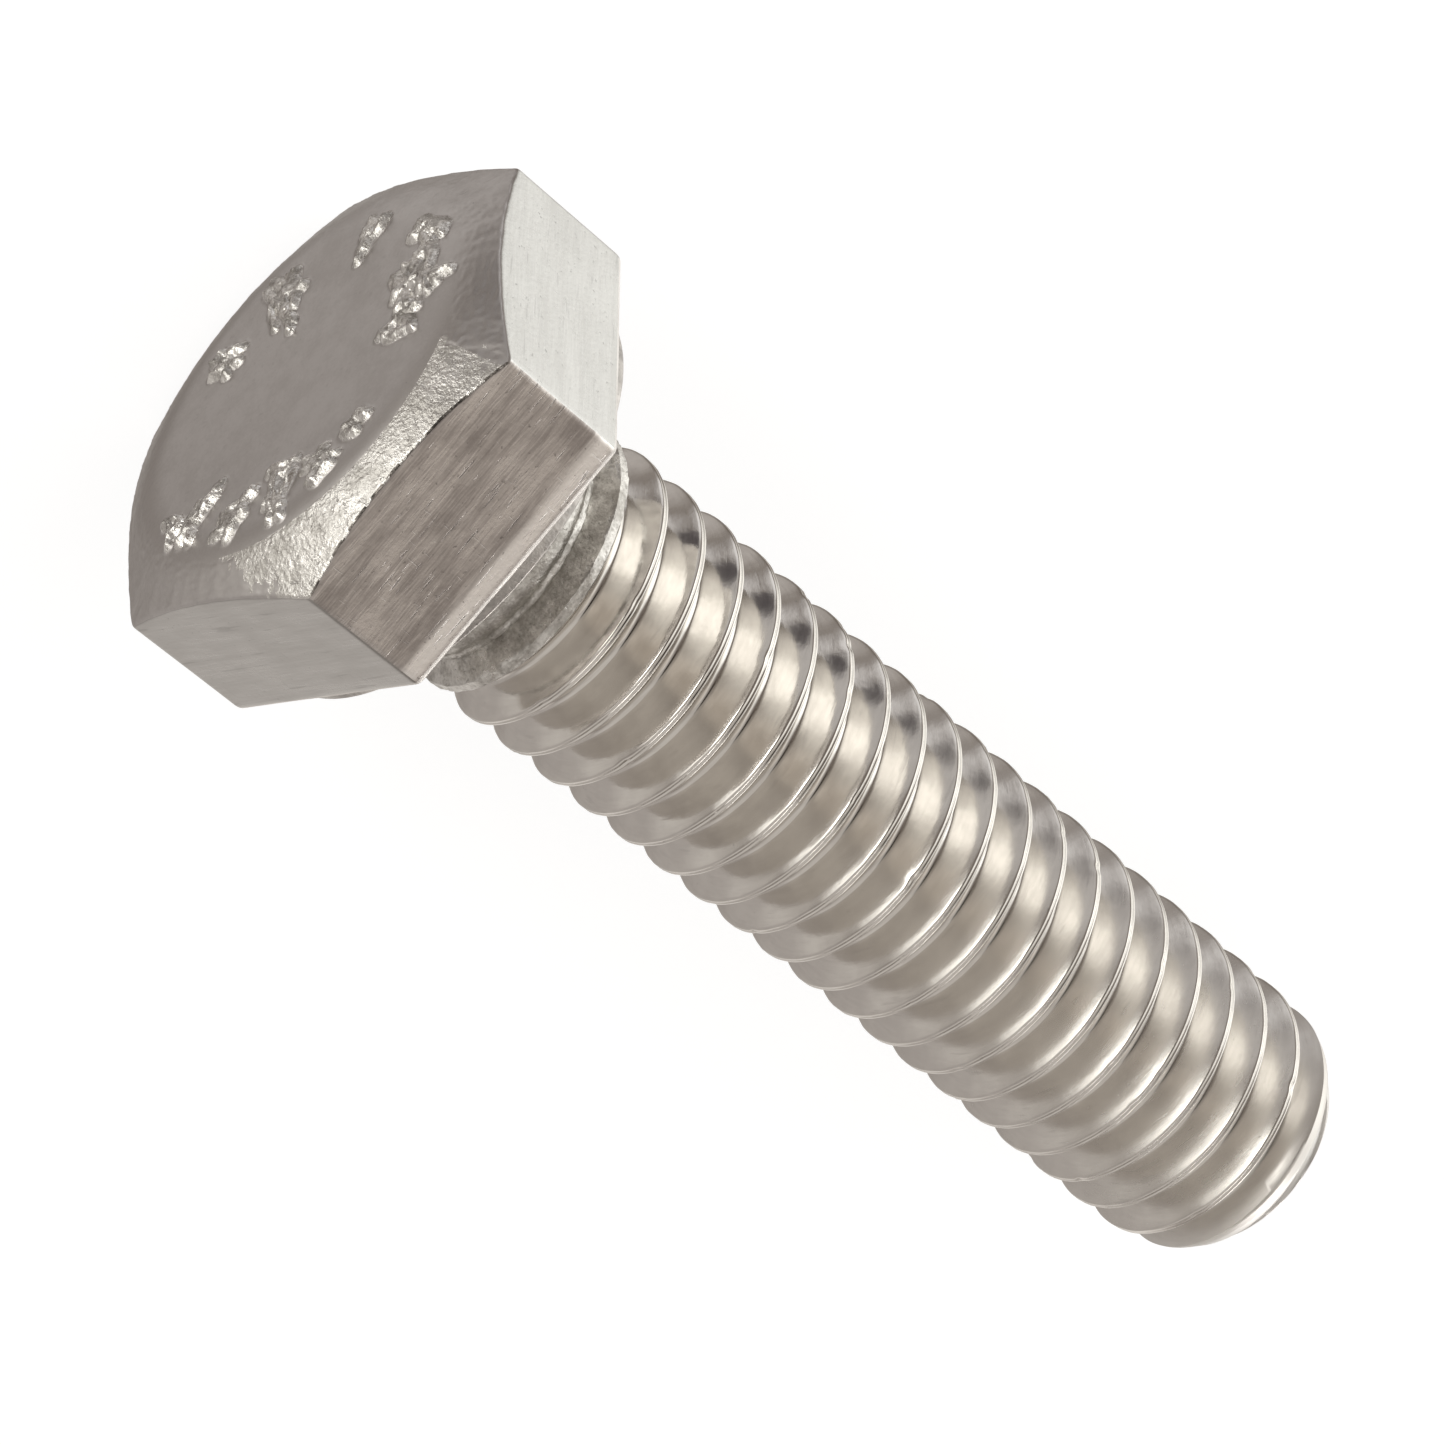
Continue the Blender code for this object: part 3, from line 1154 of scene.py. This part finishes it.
@dataclass
class Studio:
    """The pale floor, the soft light round the bolt, and the camera."""

    head_edge: Vector
    tip_crest: Vector
    aim: Vector
    azimuth: float = radians(-93.4)
    elevation: float = radians(59.25)
    roll: float = radians(133.2)
    distance: float = 147.9 * MM
    lens: float = 143.7
    surround: Colour = (0.215, 0.185, 0.165)

    def boxes(self) -> tuple[SoftBox, ...]:
        """The soft lights round the bolt. The four wide ones come first."""
        return (
            SoftBox((0.56, 0.81, 0.16), 20, 60, (1.18, 1.20, 1.18)),
            SoftBox((-0.08, -0.62, 0.78), 20, 60, (0.42, 0.42, 0.41)),
            SoftBox((-0.14, -0.86, -0.49), 20, 60, (0.27, 0.27, 0.27)),
            SoftBox((0.81, 0.08, -0.58), 20, 60, (0.52, 0.52, 0.50)),
            SoftBox((-0.39, 0.22, -0.89), 8, 26, (0.38, 0.38, 0.38)),
            SoftBox((-0.79, -0.42, -0.45), 8, 26, (0.19, 0.19, 0.18)),
            SoftBox((-0.84, 0.53, -0.11), 8, 26, (0.36, 0.37, 0.38)),
            SoftBox((-0.96, -0.22, 0.15), 8, 26, (1.34, 1.34, 1.30)),
            SoftBox((-0.89, -0.08, 0.45), 4, 16, (4.0, 4.0, 3.9)),
            SoftBox((-0.93, -0.13, -0.34), 4, 16, (1.95, 1.95, 1.9)),
            SoftBox((-0.48, 0.73, -0.48), 4, 16, (0.75, 0.77, 0.80)),
            SoftBox((0.99, -0.16, 0.02), 4, 16, (5.2, 5.1, 5.0)),
            SoftBox((0.45, 0.16, 0.88), 6, 20, (0.36, 0.34, 0.31)),
            SoftBox((0.14, 0.87, 0.45), 8, 24, (0.72, 0.73, 0.74)),
            SoftBox((0.19, 0.25, 0.95), 6, 18, (0.22, 0.22, 0.22)),
            SoftBox((0.51, -0.75, -0.43), 10, 30, (0.30, 0.29, 0.28)),
        )

    def flags(self) -> tuple[SoftBox, ...]:
        """The dark cards: the one beside the bolt, and the one round the camera."""
        return (
            SoftBox((-0.745, 0.505, -0.43), 5.5, 8, (0.09, 0.08, 0.085)),
            SoftBox((-0.46, 0.12, 0.88), 8, 22, (0.04, 0.035, 0.03)),
        )

    def light(self) -> None:
        """Fills the world with the surround and its patches."""
        world = bpy.data.worlds.new("studio")
        bpy.context.scene.world = world
        world.use_nodes = True
        tree = world.node_tree
        way = tree.nodes.new("ShaderNodeTexCoord").outputs["Generated"]
        base = tree.nodes.new("ShaderNodeRGB")
        base.outputs["Color"].default_value = opaque(self.surround)
        colour = base.outputs["Color"]
        flags = self.flags()
        for box in self.boxes() + flags:
            dot = tree.nodes.new("ShaderNodeVectorMath")
            dot.operation = "DOT_PRODUCT"
            tree.links.new(way, dot.inputs[0])
            dot.inputs[1].default_value = Vector(box.towards).normalized()
            share = tree.nodes.new("ShaderNodeMapRange")
            share.interpolation_type = "SMOOTHSTEP"
            share.inputs["From Min"].default_value = cos(radians(box.fade_degrees))
            share.inputs["From Max"].default_value = cos(radians(box.core_degrees))
            tree.links.new(dot.outputs["Value"], share.inputs["Value"])
            glow = tree.nodes.new("ShaderNodeMix")
            glow.data_type = "RGBA"
            glow.blend_type = "MIX" if box in flags else "ADD"
            glow.clamp_result = False
            tree.links.new(share.outputs["Result"], glow.inputs["Factor"])
            tree.links.new(colour, glow.inputs["A"])
            glow.inputs["B"].default_value = opaque(box.tone)
            colour = glow.outputs["Result"]
        tree.links.new(colour, tree.nodes["Background"].inputs["Color"])

    def floor(self) -> bpy.types.Object:
        """The pale floor, which the head's lower edge and the point's last crest rest on.

        Returns:
            The floor.
        """
        run = self.tip_crest - self.head_edge
        tilt = atan(run.z / run.x)
        work = bmesh.new()
        bmesh.ops.create_grid(work, x_segments=1, y_segments=1, size=FLOOR_HALF)
        mesh = bpy.data.meshes.new("studio_floor")
        work.to_mesh(mesh)
        work.free()
        obj = bpy.data.objects.new("studio_floor", mesh)
        bpy.context.scene.collection.objects.link(obj)
        obj.matrix_world = Matrix.Translation(self.head_edge) @ Matrix.Rotation(-tilt, 4, "Y")
        bench = NodeBench("pale_floor")
        shade = bench.speckle(40 * MM, 2.0)
        bench.feed(bench.shader.inputs["Base Color"],
                   bench.tint(shade, (0.30, 0.30, 0.30, 1), (0.33, 0.33, 0.33, 1)))
        bench.shader.inputs["Roughness"].default_value = 0.9
        bench.shader.inputs["Emission Color"].default_value = (1, 1, 1, 1)
        bench.shader.inputs["Emission Strength"].default_value = 0.84
        mesh.materials.append(bench.material)
        obj.visible_glossy = False
        return obj

    def camera(self) -> None:
        """Places the camera."""
        back = Vector((sin(self.azimuth) * cos(self.elevation), -cos(self.azimuth) * cos(self.elevation),
                       sin(self.elevation)))
        right = Vector((cos(self.azimuth), sin(self.azimuth), 0.0))
        up = back.cross(right)
        turned_right = right * cos(self.roll) + up * sin(self.roll)
        turned_up = back.cross(turned_right)
        data = bpy.data.cameras.new("camera")
        data.lens = self.lens
        data.sensor_width = 36.0
        data.clip_start = 1 * MM
        obj = bpy.data.objects.new("camera", data)
        bpy.context.scene.collection.objects.link(obj)
        turn = Matrix((turned_right, turned_up, back)).transposed().to_4x4()
        obj.matrix_world = Matrix.Translation(self.aim + back * self.distance) @ turn
        bpy.context.scene.camera = obj


def dress_piece(name: str, obj: bpy.types.Object, node: str) -> None:
    """Rides a piece on the bolt, in place of a node.

    Args:
        name: what it is, for the log.
        obj: the piece.
        node: the node that it stands for.
    """
    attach(obj, "root")
    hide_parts(node)
    log.info("%s: %d faces", name, len(obj.data.polygons))


def main() -> None:
    """Builds the bolt and its studio."""
    logging.basicConfig(level=logging.INFO, format="%(message)s")
    head_low = Vector(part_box("hex_head")[0])
    shank_low, shank_high = (Vector(corner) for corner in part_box("threaded_shank"))
    bearing_x = head_low.x + HEAD_HEIGHT
    split_x = shank_low.x

    head = HexHead(bearing_x=bearing_x, split_x=split_x)
    head_piece = head.build()
    head.dress(head_piece)
    dress_piece("head", head_piece, "hex_head")

    shank = ThreadedShank(bearing_x=bearing_x, split=split_x - bearing_x)
    shank_piece = shank.build()
    shank.dress(shank_piece)
    dress_piece("shank", shank_piece, "threaded_shank")

    studio = Studio(
        head_edge=Vector((bearing_x - LOWER_EDGE_TO_BEARING, 0, head_low.z)),
        tip_crest=Vector((shank_high.x - LAST_CREST_TO_END, 0, shank_low.z)),
        aim=Vector((AIM_X, 0, 0)),
    )
    studio.light()
    studio.floor()
    studio.camera()
    bpy.context.scene.view_settings.view_transform = "Standard"


if __name__ == "__main__":
    main()
